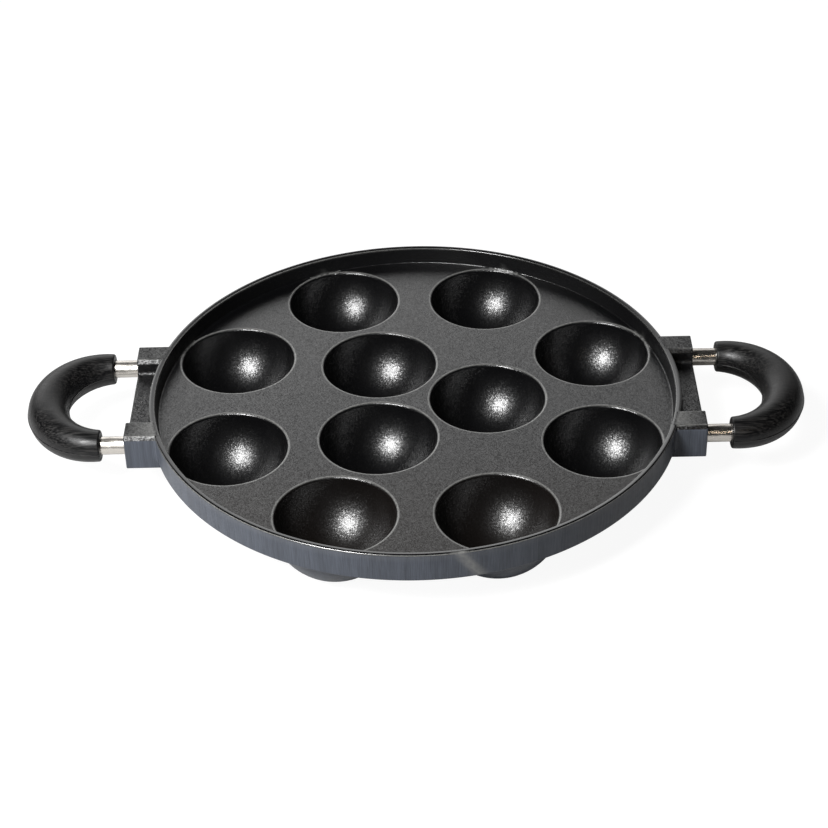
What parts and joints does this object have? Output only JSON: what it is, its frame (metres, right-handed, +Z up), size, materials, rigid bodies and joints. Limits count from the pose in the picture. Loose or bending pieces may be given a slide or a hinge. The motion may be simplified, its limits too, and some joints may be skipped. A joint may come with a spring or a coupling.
{
  "type": "paniyaram pan",
  "caption": "Round cast pan with bowl-shaped cavities inside a low rim, side lugs, and a bent bar handle with a moulded grip at each side.",
  "frame": {"origin": "on the surface that the pan stands on, under the middle of the pan", "axes": "+X through the handles, +Y away from the viewer of the picture, +Z up"},
  "size_m": [0.3518, 0.2396, 0.0362],
  "materials": {
    "coated_casting": "cast aluminium with a dark grey non-stick coat, fine satin grain",
    "polished_steel": "polished stainless steel bar",
    "black_grip": "black moulded grip, soft satin, fine moulding line round the outside",
    "pin_steel": "plain turned steel pin"
  },
  "bodies": {
    "root": {"pan_body": "coated_casting", "left_handle_rod": "polished_steel", "right_handle_rod": "polished_steel", "left_grip": "black_grip", "right_grip": "black_grip", "left_rear_pin": "pin_steel", "left_front_pin": "pin_steel", "right_rear_pin": "pin_steel", "right_front_pin": "pin_steel"}
  },
  "joints": []
}
